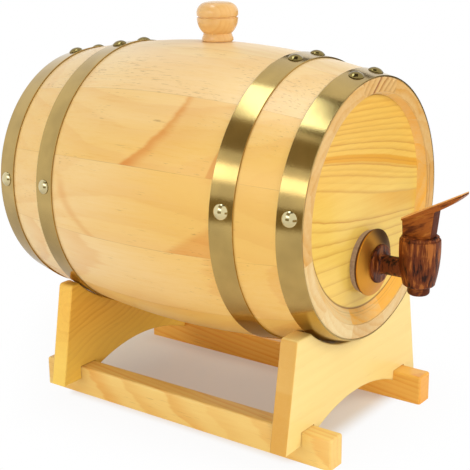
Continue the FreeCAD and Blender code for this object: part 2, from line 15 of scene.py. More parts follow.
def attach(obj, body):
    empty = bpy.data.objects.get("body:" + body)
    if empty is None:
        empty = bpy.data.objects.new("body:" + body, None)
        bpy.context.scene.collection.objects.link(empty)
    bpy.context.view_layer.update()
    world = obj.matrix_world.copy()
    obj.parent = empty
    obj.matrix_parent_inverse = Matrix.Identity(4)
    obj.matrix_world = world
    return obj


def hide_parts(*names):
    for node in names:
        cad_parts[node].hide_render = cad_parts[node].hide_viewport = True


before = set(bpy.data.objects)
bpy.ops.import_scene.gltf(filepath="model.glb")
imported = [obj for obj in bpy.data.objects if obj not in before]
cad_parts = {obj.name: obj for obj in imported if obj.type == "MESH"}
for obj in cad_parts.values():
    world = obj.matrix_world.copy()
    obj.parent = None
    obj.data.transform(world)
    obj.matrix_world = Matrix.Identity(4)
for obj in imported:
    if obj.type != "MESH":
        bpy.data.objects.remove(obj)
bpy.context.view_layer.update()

# %% [markdown]
# The sizes that several pieces share come first, in millimetres. The cask
# lies along Y and its staves follow one large circle, the bow, so a single
# function gives the cask's outside radius at any distance from its middle.

# %% Sizes that the pieces share
MM = 0.001
MIDDLE, AXIS = 34.65, 161.0       # the cask's middle along Y, and its axis above the ground
CASK_MIDDLE = (0.0, MIDDLE, AXIS)
HALF = 133.0                      # from the cask's middle to a stave's end
BILGE, CHIME = 104.6, 88.8        # outside radius at the middle and at the ends
BOW = (HALF ** 2 + (BILGE - CHIME) ** 2) / (2 * (BILGE - CHIME))
STAVE_WALL, CHIME_LAND = 16.5, 9.6   # wood at the middle, and the flat ring at a stave's end
FACE = HALF - 5.8                 # plane of a head's outer face
LIP = 72.8                        # radius where the bevel meets the head
LIP_RISE = 4.4                    # the front bevel is cut this much above the cask's axis
GROOVE, GROOVE_WIDE = 4.9, 6.0    # the heads' groove: its depth from the lip, and its width
INNER_LIP = LIP + 1.2             # radius where the groove's inner wall ends
STAVES, FIRST_SEAM = 12, 12.0     # the seam's angle from the top towards -X
STAVE_TURN = 360 / STAVES
HOOPS = {"front_chime": -124.2, "front_quarter": -78.0, "rear_quarter": 78.0, "rear_chime": 124.2}
HOOP_HALF, HOOP_IN, HOOP_OUT = 8.5, 0.12, 1.12    # half the width, and both faces above the staves
TAP = (0.0, -133.25, 124.0)       # where the key's axis crosses the tap's
BLADE_HEEL, BLADE_RISE = (-11.8, 48.0), 0.522     # where the lever's top leaves the wedge, and its slope
BUNG = (4.0, MIDDLE, 265.6)
RAIL_NEAR, RAIL_FAR, RAIL_TOP = 55.76, 71.76, 21.7            # a rail's two sides and its top
RAIL_LONG, RAIL_MIDDLE = 257.6, 18.95
BOARD_FRONT, BOARD_REAR, BOARD_WALL = -80.65, 118.55, 13.4    # the boards' middles, and their thickness
HORN_TOP, HORN_END, FOOT_END, FOOT = 88.0, 77.2, 90.36, 11.5  # a board's top, its outer corners, and its foot
NOTCH_FAR, NOTCH_TOP = RAIL_FAR + 0.5, RAIL_TOP + 0.4         # the notches are cut a little wide
SEAT_GAP = 0.3                    # between the cask and the boards' hollows


def girth(along):
    """The staves' outside radius at a distance from the cask's middle."""
    return BILGE - BOW + math.sqrt(BOW ** 2 - along ** 2)


def stave_angle(number):
    """Degrees from the top to a stave's middle."""
    return FIRST_SEAM + STAVE_TURN * (number - 1.5)


print("bow radius", round(BOW, 1), "mm, radius under a quarter hoop", round(girth(HOOPS["rear_quarter"]), 2), "mm")

# %% [markdown]
# The camera looks down a little from the left of the tap. Its place is found
# from a direction and a distance, so that each of them can be tried alone.

# %% The camera
AZIMUTH, ELEVATION, ROLL = (math.radians(a) for a in (-53.95, 16.06, -0.49))
LOOK_AT, DISTANCE = Vector((0, 0.01795, 0.12436)), 0.8397

towards = Vector((math.sin(AZIMUTH) * math.cos(ELEVATION), -math.cos(AZIMUTH) * math.cos(ELEVATION),
                  math.sin(ELEVATION)))
across = Vector((math.cos(AZIMUTH), math.sin(AZIMUTH), 0))
upright = towards.cross(across)
right = across * math.cos(ROLL) + upright * math.sin(ROLL)
up = upright * math.cos(ROLL) - across * math.sin(ROLL)
camera = bpy.data.objects.new("camera", bpy.data.cameras.new("camera"))
bpy.context.scene.collection.objects.link(camera)
camera.data.lens, camera.data.sensor_width = 86.9, 36
camera.data.clip_start, camera.data.clip_end = 0.01, 50
turned = Matrix((right, up, towards)).transposed().to_4x4()
camera.matrix_world = Matrix.Translation(LOOK_AT + towards * DISTANCE) @ turned
bpy.context.scene.camera = camera
bpy.context.scene.view_settings.view_transform = "Standard"
print("camera at", [round(v, 3) for v in camera.matrix_world.translation])

# %% [markdown]
# ## How the finishes are written
# A finish is a sum of patterns. `Level` is a number that changes over the
# surface, and it can be added, multiplied and raised like any number.
# `Finish` holds one material, and its `put` adds any other node.

# %% Numbers that change over a surface
class Level:
    def __init__(self, finish, socket):
        self.finish, self.socket = finish, socket

    def sum(self, kind, *others):
        return self.finish.put("ShaderNodeMath", {"operation": kind}, dict(enumerate([self, *others])))

    def __add__(self, other):
        return self.sum("ADD", other)

    def __sub__(self, other):
        return self.sum("SUBTRACT", other)

    def __rsub__(self, other):
        return self.finish.put("ShaderNodeMath", {"operation": "SUBTRACT"}, {0: other, 1: self})

    def __mul__(self, other):
        return self.sum("MULTIPLY", other)

    def __truediv__(self, other):
        return self.sum("DIVIDE", other)

    def __pow__(self, other):
        return self.sum("POWER", other)

    def __abs__(self):
        return self.sum("ABSOLUTE")


# %% A finish and its nodes
class Finish:
    def __init__(self, name):
        self.material = bpy.data.materials.new(name)
        self.material.use_nodes = True
        self.tree = self.material.node_tree
        self.tree.nodes.clear()

    def put(self, kind, settings, sockets, output=0):
        """A node with its settings, and with numbers or other levels in its sockets."""
        node = self.tree.nodes.new(kind)
        for key, value in settings.items():
            if key == "stops":
                ramp = node.color_ramp.elements
                while len(ramp) < len(value):
                    ramp.new(1.0)
                for stop, (place, grey) in zip(ramp, value):
                    stop.position, stop.color = place, (grey, grey, grey, 1)
            else:
                setattr(node, key, value)
        for key, value in sockets.items():
            if isinstance(value, Level):
                self.tree.links.new(value.socket, node.inputs[key])
            else:
                node.inputs[key].default_value = value
        return Level(self, node.outputs[output])

    def local(self, middle=(0, 0, 0), turn=(0, 0, 0)):
        """Millimetres from a middle, in axes that may be turned (degrees)."""
        place = self.put("ShaderNodeTexCoord", {}, {}, "Object")
        return self.put("ShaderNodeMapping", {"vector_type": "TEXTURE"},
                        {"Vector": place, "Location": [v * MM for v in middle],
                         "Rotation": [math.radians(a) for a in turn], "Scale": (MM, MM, MM)})

    def normal(self, turn=(0, 0, 0)):
        """The surface's own direction, in axes that may be turned (degrees)."""
        facing = self.put("ShaderNodeTexCoord", {}, {}, "Normal")
        return self.put("ShaderNodeMapping", {"vector_type": "TEXTURE"},
                        {"Vector": facing, "Rotation": [math.radians(a) for a in turn]})

    def stretched(self, where, x, y, z, shift=0.0):
        """A place for noise: scaled along each axis, and shifted so that pieces differ."""
        return self.put("ShaderNodeMapping", {},
                        {"Vector": where, "Scale": (x, y, z), "Location": (shift, shift * 0.7, shift * 1.3)})

    def apart(self, where):
        return [self.put("ShaderNodeSeparateXYZ", {}, {0: where}, i) for i in range(3)]

    def cloud(self, where, scale=1.0, detail=2.0, rough=0.5):
        """Soft noise around 0, about -0.5 to 0.5."""
        return self.put("ShaderNodeTexNoise", {},
                        {"Vector": where, "Scale": scale, "Detail": detail, "Roughness": rough}) - 0.5

    def rise(self, value, low, high, bottom=0.0, top=1.0):
        """Goes softly from bottom to top while value goes from low to high."""
        return self.put("ShaderNodeMapRange", {"interpolation_type": "SMOOTHSTEP"},
                        {"Value": value, "From Min": low, "From Max": high, "To Min": bottom, "To Max": top})

    def near(self, value, middle, width):
        """1 at a middle, softly down to 0 a width away."""
        return self.rise(abs(value - middle), width, 0.0)

    def mix(self, first, second, share):
        """One colour over another, by a share from 0 to 1."""
        return self.put("ShaderNodeMix", {"data_type": "RGBA"}, {0: share, 6: first, 7: second}, 2)

    def bump(self, height, depth, strength):
        return self.put("ShaderNodeBump", {}, {"Height": height, "Distance": depth, "Strength": strength})

    def shown(self, shader):
        out = self.tree.nodes.new("ShaderNodeOutputMaterial")
        self.tree.links.new(shader.socket, out.inputs["Surface"])
        return self.material

    def done(self, sockets):
        return self.shown(self.put("ShaderNodeBsdfPrincipled", {}, sockets, "BSDF"))


def tone(red, green, blue):
    """A colour as it shows on a screen, 0 to 255, in the renderer's own scale."""
    shares = [c / 255 for c in (red, green, blue)]
    return (*[c / 12.92 if c <= 0.04045 else ((c + 0.055) / 1.055) ** 2.4 for c in shares], 1.0)


print("middle grey is", round(tone(128, 128, 128)[0], 3), "in the renderer's scale")

# %% [markdown]
# ## Studio
# A plain pale floor, one large soft lamp from the front right and three
# weaker ones: from the left, from low in front and from above. Brass shows
# what stands around it, so it also needs cards, two bright ones and six dark
# ones, which only reflections see.

# %% Light of the room: white to look at, a little dimmer as light
ROOM_LIGHT = 0.555
world = bpy.data.worlds.new("room")
bpy.context.scene.world = world
world.use_nodes = True
room = world.node_tree
room.nodes.clear()
paths = room.nodes.new("ShaderNodeLightPath")
watched = paths.outputs["Is Camera Ray"]
for ray in ("Is Glossy Ray", "Is Transmission Ray"):
    larger = room.nodes.new("ShaderNodeMath")
    larger.operation = "MAXIMUM"
    room.links.new(watched, larger.inputs[0])
    room.links.new(paths.outputs[ray], larger.inputs[1])
    watched = larger.outputs[0]
dim, plain = (room.nodes.new("ShaderNodeBackground") for _ in range(2))
either = room.nodes.new("ShaderNodeMixShader")
dim.inputs["Color"].default_value, dim.inputs["Strength"].default_value = (1.0, 0.985, 0.96, 1), ROOM_LIGHT
plain.inputs["Color"].default_value, plain.inputs["Strength"].default_value = (1, 1, 1, 1), 1.0
room.links.new(watched, either.inputs[0])
room.links.new(dim.outputs[0], either.inputs[1])
room.links.new(plain.outputs[0], either.inputs[2])
room.links.new(either.outputs[0], room.nodes.new("ShaderNodeOutputWorld").inputs["Surface"])


# %% Lamps
def lamp(name, place, aim, size, watts, colour=(1, 1, 1)):
    data = bpy.data.lights.new(name, "AREA")
    data.shape, data.size, data.energy, data.color = "DISK", size, watts, colour
    item = bpy.data.objects.new(name, data)
    bpy.context.scene.collection.objects.link(item)
    item.location = place
    item.rotation_euler = (Vector(place) - Vector(aim)).to_track_quat("Z", "Y").to_euler()
    item.visible_camera = item.visible_glossy = False


lamp("front_lamp", (0.45, -1.7, 1.25), (0, 0, 0.12), 1.1, 20.2, (1, 0.985, 0.96))
lamp("left_lamp", (-1.6, 0.7, 0.3), (0, 0, 0.12), 1.0, 8.0)
lamp("low_lamp", (-1.1, -0.9, 0.1), (0, 0.08, 0.05), 0.3, 4.0, (1, 0.93, 0.8))
lamp("top_lamp", (-0.2, 0.2, 2.0), (0, 0, 0.1), 1.4, 8.0)

# %% The floor: lit, with painted warm shade under the stand, and a plain white further away
floor_mesh = bpy.data.meshes.new("floor")
bm = bmesh.new()
bmesh.ops.create_grid(bm, x_segments=1, y_segments=1, size=8.0)
bm.to_mesh(floor_mesh)
bm.free()
floor = bpy.data.objects.new("floor", floor_mesh)
bpy.context.scene.collection.objects.link(floor)
pale = Finish("pale_floor")
x, y, _ = pale.apart(pale.put("ShaderNodeTexCoord", {}, {}, "Object"))
aside = (abs(x - (y - 0.118).sum("MAXIMUM", 0.0) * 1.05) - 0.062).sum("MAXIMUM", 0.0)
past = (abs(y - 0.088) - 0.162).sum("MAXIMUM", 0.0)
away = ((aside * aside) + (past * past)) ** 0.5        # metres from the patch under the stand
# painted warm shade and bounce light under the stand, going over into a pale grey-white away from it
floor_tone_with_painted_shade = pale.mix((0.83, 0.73, 0.58, 1), (0.86, 0.85, 0.84, 1), pale.rise(away, 0.0, 0.05))
matte = pale.put("ShaderNodeBsdfDiffuse", {}, {"Color": floor_tone_with_painted_shade})
glow = pale.put("ShaderNodeEmission", {}, {"Color": (1, 1, 1, 1), "Strength": 1.0})
path = pale.tree.nodes.new("ShaderNodeLightPath")
watched = Level(pale, path.outputs["Is Camera Ray"])
mirrored = Level(pale, path.outputs["Is Glossy Ray"])
cover = pale.rise(away, 0.0, 0.02, 0.2, 0.94) + pale.rise(away, 0.02, 0.1, 0.0, 0.06)
cover = (cover * watched) + (mirrored * pale.rise(away, 0.3, 0.8))
floor_mesh.materials.append(pale.shown(pale.put("ShaderNodeMixShader", {}, {0: cover, 1: matte, 2: glow})))

# %% Cards that only reflections see
HOOP_SPOT, TAP_SPOT = Vector((-0.06, -0.07, 0.2)), Vector((0, -0.1, 0.124))


def card(name, spot, azimuth, elevation, distance, wide, high, colour, strength):
    """A card seen from a spot in one direction, with its size in degrees."""
    a, e = math.radians(azimuth), math.radians(elevation)
    out = Vector((math.cos(a) * math.cos(e), math.sin(a) * math.cos(e), math.sin(e)))
    mesh = bpy.data.meshes.new(name)
    shape = bmesh.new()
    bmesh.ops.create_grid(shape, x_segments=1, y_segments=1, size=0.5)
    bmesh.ops.scale(shape, vec=(2 * distance * math.tan(math.radians(wide / 2)),
                                2 * distance * math.tan(math.radians(high / 2)), 1), verts=shape.verts)
    facing = out.to_track_quat("Z", "Y").to_matrix().to_4x4()
    shape.transform(Matrix.Translation(spot + out * distance) @ facing)
    shape.to_mesh(mesh)
    shape.free()
    item = bpy.data.objects.new(name, mesh)
    bpy.context.scene.collection.objects.link(item)
    paint = Finish(name)
    glow = paint.put("ShaderNodeEmission", {}, {"Color": (*colour, 1), "Strength": strength})
    mesh.materials.append(paint.shown(glow))
    item.visible_camera = item.visible_diffuse = item.visible_shadow = item.visible_transmission = False


card("bright_card_high", HOOP_SPOT, 103.5, 72.5, 1.4, 29, 15, (0.74, 0.86, 1), 4.7)
card("dark_card_top", HOOP_SPOT, 216, 88, 1.7, 42, 42, (1.0, 0.85, 0.6), 0.15)
card("dark_card_high", HOOP_SPOT, 154.5, 49.8, 1.4, 40, 22.5, (1.0, 0.8, 0.5), 0.33)
card("bright_card_low", HOOP_SPOT, 166, 23.5, 1.3, 34, 11.5, (0.95, 0.97, 1), 3.4)
card("dark_card_low", HOOP_SPOT, 166, -3.5, 0.75, 34, 17, (1.0, 0.78, 0.4), 0.3)
card("dark_card_front", HOOP_SPOT, 245, -14, 0.5, 50, 24, (1.0, 0.7, 0.34), 0.4)
card("dark_card_back", HOOP_SPOT, 35, 29, 1.4, 26, 8, (1.0, 0.85, 0.6), 0.12)
card("dark_card_tap", TAP_SPOT, -6, 5, 0.6, 48, 28, (1.0, 0.8, 0.6), 0.06)

# %% [markdown]
# ## Wood
# Wood is solid: its rings run through the whole piece, so one pattern in
# space gives the long figures on a side and the arcs on an end. The rings
# lie round the pith, a line that runs nearly along the fibres. Each ring
# darkens slowly towards its outside and then starts pale again.

# %% The rings of a tree
CRISP = 0.9         # share of a ring at which it is darkest


def rings(f, where, pith, lean, gap, wander, shift):
    """Dark part of each ring, 0 to 1. The fibres run along local Y."""
    x, y, z = f.apart(where)
    slow = f.cloud(f.stretched(where, 0.03, 0.009, 0.03, shift), 1.0, 2.0) * wander
    quick = f.cloud(f.stretched(where, 0.2, 0.012, 0.2, shift), 1.0, 2.0) * (gap * 0.35)
    side = x - pith[0] - y * lean[0]
    deep = z - pith[1] - y * lean[1]
    turn = (((side * side) + (deep * deep)) ** 0.5 + slow + quick) / gap
    year = turn.sum("FLOOR")
    phase = turn - year
    strong = f.put("ShaderNodeTexWhiteNoise", {"noise_dimensions": "1D"}, {"W": year}, "Value") * 0.75 + 0.25
    return f.rise(phase, 0.25, CRISP) * f.rise(phase, 1.0, CRISP) * strong


def fibres(f, where, shift):
    """Fine streaks along the fibres, around 0."""
    fine = f.cloud(f.stretched(where, 1.4, 0.05, 1.4, shift), 1.0, 3.0, 0.65)
    wide = f.cloud(f.stretched(where, 0.3, 0.012, 0.3, shift + 4), 1.0, 2.0)
    return fine * 0.8 + wide * 0.7


def dashes(f, where, shift, spread=0.0):
    """Short dark lines along the fibres, scattered in patches."""
    fine = f.cloud(f.stretched(where, 1.3, 0.07, 1.3, shift), 1.0, 2.0, 0.6)
    place = f.cloud(f.stretched(where, 0.05, 0.02, 0.05, shift + 9), 1.0, 1.0)
    return f.rise(fine, 0.13 - 0.4 * spread, 0.22 - 0.4 * spread) * f.rise(place, -spread, 0.15 - spread)


def within(value):
    """Held between 0 and 1."""
    return value.sum("MAXIMUM", 0.0).sum("MINIMUM", 1.0)


def varnished(f, colour, height, rough=0.32, coat=0.12):
    return f.done({"Base Color": colour, "Roughness": rough, "Coat Weight": coat, "Coat Roughness": 0.12,
                   "Specular IOR Level": 0.28, "Normal": f.bump(height, 0.0001, 0.25)})


CREAM, HONEY, AMBER, BROWN = tone(240, 216, 170), tone(232, 187, 100), tone(212, 136, 54), tone(128, 82, 40)
PALE_END, WARM_END, WARM_BEVEL = tone(228, 204, 150), tone(206, 146, 52), tone(240, 174, 64)
RING_BROWN, KNOT_BROWN = tone(150, 92, 26), tone(132, 62, 14)

# %% The cask's pale wood, one tree for each stave
STRIPED, DASHED, LINED_END_STAVE = (5, 6), 2, 10    # staves with strong rings, with more dashes, and the one with a dark line in its end's flat ring
BEVEL_EDGE = (78.7, 79.3)                   # radius where the bevel's colour goes over into the flat ring's
KNOT_OUT = 62.1                             # a dark streak across the end, this far out at 45 degrees


def stave_wood(number, tone_and_light, bevel, land, pith=None, extra=None):
    """Cream to honey, by the shares at the upper and lower edge in front, then at the rear. The shares hold painted
    light as well as each stave's own tone.
    """
    f = Finish(f"cask_wood_{number:02d}")
    where = f.local(CASK_MIDDLE, (0, -stave_angle(number), 0))
    x, y, z = f.apart(where)
    lively = (number * 5) % 7 / 7
    centre, gap = pith or ((60 * lively - 30, 20 + 40 * lively), 5.0 + 3 * lively)
    end = f.rise(abs(f.apart(f.normal())[1]), 0.25, 0.6)
    late = rings(f, where, centre, (0.05 * lively - 0.025, 0.02), gap, 5.0, number * 7.3)
    streak = fibres(f, where, number * 3.1)
    patch = f.cloud(f.stretched(where, 0.02, 0.008, 0.02, number * 5.0), 1.0, 1.0)
    # painted light: these shares make the rear and the upper staves paler
    front = f.rise(x, 26.0, -26.0, tone_and_light[0], tone_and_light[1])
    rear = f.rise(x, 26.0, -26.0, tone_and_light[2], tone_and_light[3])
    to_front = f.rise(y, 100.0, -95.0)
    share = front * to_front + rear * (1.0 - to_front) + patch * 0.5 + streak * 0.35
    colour = f.mix(CREAM, HONEY, within(share))
    figure = late * (0.32 if number in STRIPED else 0.16) + f.rise(streak, 0.05, 0.45) * 0.2
    if extra:
        figure = figure + extra(f, where)
    colour = f.mix(colour, AMBER, within(figure))
    line = dashes(f, where, number * 2.3, 0.1 if number == DASHED else 0.0)
    tight = f.rise(f.cloud(f.stretched(where, 0.03, 0.03, 0.03), 1.0, 1.0), -0.2, 0.1)
    seam = f.near(abs(x / z), math.tan(math.radians(STAVE_TURN / 2)), 0.0035) * tight
    colour = f.mix(colour, BROWN, within(line * 0.42 + seam * 0.36))

    # the end: a bevel, a flat ring round it, and painted shadow lines at the lip and in the bevel
    reach = ((x * x) + (z * z)) ** 0.5
    # the bevel's share is partly painted shade, warm and dark where the top bevel lies in shade
    warm = f.rise(reach, *BEVEL_EDGE, bevel, land)
    butt = f.mix(PALE_END, f.mix(WARM_BEVEL, WARM_END, f.rise(reach, *BEVEL_EDGE)),
                 within(late * 0.25 + streak * 0.5 + patch * 0.4 + warm))
    if pith:
        knot = f.near(z * 0.705 - x * 0.709, KNOT_OUT, 1.3) * f.rise(x, 8.0, 2.0) * 0.8
        butt = f.mix(f.mix(butt, RING_BROWN, late * 0.75), KNOT_BROWN, knot)
    aside, _, height = f.apart(f.local((0, MIDDLE, AXIS + LIP_RISE)))
    lip = ((aside * aside) + (height * height)) ** 0.5
    # painted shadow in the crease where the bevel meets the head, and two thin painted shadow lines in the bevel,
    # strongest at the lower left
    cut = f.rise(lip, LIP + 0.9, LIP + 0.3) * 0.75
    cut = cut + f.near(lip, LIP + 3.2, 0.4) * 0.3 + f.near(lip, LIP + 5.0, 0.3) * 0.2
    butt = f.mix(butt, BROWN, cut * f.rise(aside + height, 40.0, 0.0))
    # a dark line across part of the flat ring of one stave's end
    if number == LINED_END_STAVE:
        butt = f.mix(butt, BROWN, f.near(reach, 81.8, 0.6) * f.rise(x, 18.0, 14.0) * 0.7)
    colour = f.mix(colour, butt, end)
    return varnished(f, colour, late * 0.5 + streak - line)


# %% Flames on the two staves that face the camera
def front_of(f, where, foot, bend, side, reach, power):
    """How far a point lies behind a bent front, in millimetres towards -Y, with a ragged edge."""
    x, y, _ = f.apart(where)
    rough = f.cloud(f.stretched(where, 0.16, 0.05, 0.16), 1.0, 4.0, 0.7) * 7.0
    return (abs(x * -1.0 - side) / reach) ** power * bend + foot - y + rough


def flame_three(f, where):
    """A broad crest with a paler trail behind it, and a pointed tip at the seam."""
    x, y, _ = f.apart(where)
    along = f.rise(x, 28.0, -29.0)
    behind = front_of(f, where, -29.0, 39.5, -28.0, 57.0, 2.2)
    wide = (x * -1.0 + 28.0) / 57.0
    wide = wide * wide * 6.0 + 4.5
    crest = f.rise(behind, -2.0, 2.4) * f.rise(behind / wide, 2.0, 0.4)
    trail = f.rise(behind, 0.0, 3.0) * f.rise(behind, 45.0, 8.0)
    tip = f.rise(x * -0.277 - y - 70.2, -0.4, 1.2) * f.rise(y, -78.0, -70.0)
    return crest * (along * 0.2 + 0.42) + trail * 0.16 + tip * 0.55


def flame_four(f, where):
    """A filled corner behind the front quarter hoop, and a faint arc further back."""
    x, y, _ = f.apart(where)
    rough = f.cloud(f.stretched(where, 0.12, 0.05, 0.12), 1.0, 3.0) * 4.0
    inside = x * -1.62 - 74.0 - y + rough
    corner = f.rise(inside, -2.0, 9.0) * f.rise(y, -84.0, -66.0)
    bend = (x * -1.0 + 11.0).sum("MAXIMUM", 0.0) / 43.0
    arc = f.near(y + bend * bend * 36.0 - 61.0, 0.0, 7.0) * f.rise(x, 16.0, 4.0)
    return corner * 0.5 + arc * 0.3


# Each stave's shares of honey, which hold painted light (paler at the rear and on the upper staves), how warm its bevel
# and its flat ring are, the bevel's share partly painted shade, and where its pith lies
PLAIN = (0.7, 0.7, 0.4, 0.4)
STAVE_TONE_AND_LIGHT = {1: (0.2, 0.2, 0.3, 0.3), 2: (0.5, 0.35, 0.25, 0.4), 3: (0.75, 1.05, 0.65, 0.75),
          4: (1.1, 0.95, 0.65, 0.5), 5: (0.95, 0.9, 0.4, 0.25), 6: (1.0, 1.1, 0.7, 0.8)}
BEVEL_TONE_AND_SHADE = (0.85, 0.5, 0.45, 0.42, 0.3, 0.2, 0.7, 0.95, 0.95, 0.75, 0.75, 0.85)
LAND = (0.5, 0.55, 0.45, 0.6, 0.25, 0.1, 0.4, 0.3, 0.55, 0.75, 0.65, 0.65)
PITH = {1: ((80, -5), 4.6)}
FLAMES = {3: flame_three, 4: flame_four}
cask_wood = {n: stave_wood(n, STAVE_TONE_AND_LIGHT.get(n, PLAIN), BEVEL_TONE_AND_SHADE[n - 1], LAND[n - 1], PITH.get(n), FLAMES.get(n))
             for n in range(1, STAVES + 1)}
print("stave finishes:", len(cask_wood))

# %% A head: one broad board with the fibres across
# Height above the middle and strength of each dark line
HEAD_SPAN = 80.0
HEAD_LINES = ((71.5, 0.5), (67.4, 0.5), (63.5, 0.4), (59.8, 0.65), (56.2, 0.4), (52.9, 0.6), (49.4, 0.3), (45.7, 0.7),
              (41.1, 0.6), (35.0, 0.4), (30.8, 1.0), (26.5, 0.4), (22.2, 0.7), (17.0, 0.2), (10.9, 0.8),
              (-7.6, 0.8), (-12.1, 0.5), (-18.7, 0.6), (-25.2, 0.6), (-33.7, 0.5), (-44.3, 0.45), (-53.0, 0.4),
              (-63.4, 0.4))


def head_wood(name, middle, lip_rise=0.0):
    f = Finish(name)
    where, along = f.local(middle), f.local(middle, (0, 0, 90))
    x, _, z = f.apart(where)
    lie = (z - 19.0) / 30.0
    tilt = (lie * lie * -1.0).sum("EXPONENT") * 0.17 + 0.05
    wave = f.cloud(f.stretched(where, 0.03, 0.02, 0.04, 3.0), 1.0, 1.0) * 0.8
    ragged = f.cloud(f.stretched(where, 0.09, 0.1, 0.3, 3.0), 1.0, 2.0) * 0.9
    level = z + x * tilt + wave + ragged
    lines = None
    for part in (HEAD_LINES[:8], HEAD_LINES[8:15], HEAD_LINES[15:]):
        stops = []                # each line begins sharply below and fades upwards
        for height, depth in part:
            foot = (height + HEAD_SPAN) / (2 * HEAD_SPAN)
            stops += [(foot - 0.0028, 0.0), (foot, depth), (foot + 0.003, depth * 0.4), (foot + 0.015, 0.0)]
        ramp = f.put("ShaderNodeValToRGB", {"stops": sorted(stops)},
                     {"Fac": (level + HEAD_SPAN) / (2 * HEAD_SPAN)}, "Color")
        lines = ramp if lines is None else lines + ramp
    below = f.rise(level, 11.2, 10.0) * f.rise(level, -14.0, 6.0) * f.rise(x, -20.0, 40.0)
    band = f.rise(level, 32.0, 33.0) * f.rise(level, 38.2, 36.8)
    streak = fibres(f, along, 9.0)
    # painted shade: the head darker towards its top, under the rim
    painted_top_shade = f.rise(z, 0.0, 30.0) * 0.24 + f.rise(z, 40.0, 74.0) * 0.1
    share = within(below * 0.5 + band * 0.7 + streak * 0.4 + painted_top_shade + 0.26)
    colour = f.mix(tone(238, 208, 108), tone(222, 162, 44), share)
    colour = f.mix(colour, tone(184, 110, 22), within(lines * 0.9 + streak * 0.1))
    reach = ((x * x) + ((z - lip_rise) ** 2)) ** 0.5
    # painted shadow in the joint round the head's rim, strongest on the left
    colour = f.mix(colour, BROWN, f.rise(reach, 71.6, 72.6) * f.rise(x, 40.0, 0.0) * 0.7)
    return varnished(f, colour, streak + lines * 0.5)


front_wood = head_wood("head_wood_front", (0.0, MIDDLE - FACE, AXIS), LIP_RISE)
rear_wood = head_wood("head_wood_rear", (0.0, MIDDLE + FACE, AXIS))


# %% The stand's boards and rails
BOARD_TURN, RAIL_TURN = (0, 0, 90), (0, 0, 0)        # the fibres run across a board and along a rail


def stand_wood(name, middle, turn, pith, lean, gap, contrast, light, dark, end_tone, calm=1.0, wander=7.0,
               painted_bounce_light=0.0):
    f = Finish(name)
    where = f.local(middle, turn)
    end = f.rise(abs(f.apart(f.normal(turn))[1]), 0.4, 0.8)
    late = rings(f, where, pith, lean, gap, wander, gap)
    streak = fibres(f, where, gap)
    patch = f.cloud(f.stretched(where, 0.02, 0.008, 0.02, gap), 1.0, 1.0)
    line = dashes(f, where, gap, 0.05)
    height = f.apart(f.local())[2]
    butt = end * (f.rise(height, 54.0, 52.0) * 0.12 + end_tone)
    share = within(late * (1.0 - end * 0.7) * contrast + streak * calm * 0.3 + patch * calm * 0.35 + butt + 0.08)
    colour = f.mix(f.mix(tone(*light), tone(*dark), share), BROWN, line * calm * 0.25)
    # painted bounce light: the board paler towards its foot
    if painted_bounce_light:
        colour = f.mix(colour, tone(255, 224, 110), f.rise(height, 70.0, 22.0) * painted_bounce_light)
    return varnished(f, colour, late * 0.6 + streak)


board_front_wood = stand_wood("board_wood_front", (0, BOARD_FRONT, 50), BOARD_TURN, (0, 160), (0.0, 0.02), 9.0, 0.05,
                              (246, 220, 144), (212, 150, 46), 0.62, calm=0.4)
board_rear_wood = stand_wood("board_wood_rear", (0, BOARD_REAR, 50), BOARD_TURN, (-12, 40), (0.06, -0.3), 5.2, 0.36,
                             (246, 194, 82), (206, 124, 22), 0.0, wander=22.0, painted_bounce_light=0.6)
rail_left_wood = stand_wood("rail_wood_left", (-63.76, 19, 10), RAIL_TURN, (60, 10), (0.12, 0.03), 5.0, 0.45,
                            (246, 214, 132), (224, 152, 54), 0.0)
rail_right_wood = stand_wood("rail_wood_right", (63.76, 19, 10), RAIL_TURN, (0, 60), (0.05, 0.1), 4.0, 0.5,
                             (246, 190, 90), (228, 138, 36), 0.2)

# %% Bung wood
f = Finish("bung_wood")
where = f.local(BUNG, (90, 0, 0))
late = rings(f, where, (30, 4), (0.02, 0.02), 2.6, 3.0, 2.0)
streak = fibres(f, where, 2.0)
colour = f.mix(tone(230, 186, 116), tone(208, 136, 62), within(late * 0.2 + streak * 0.3 + 0.15))
bung_wood = varnished(f, colour, late * 0.3 + streak * 0.5, rough=0.24, coat=0.5)


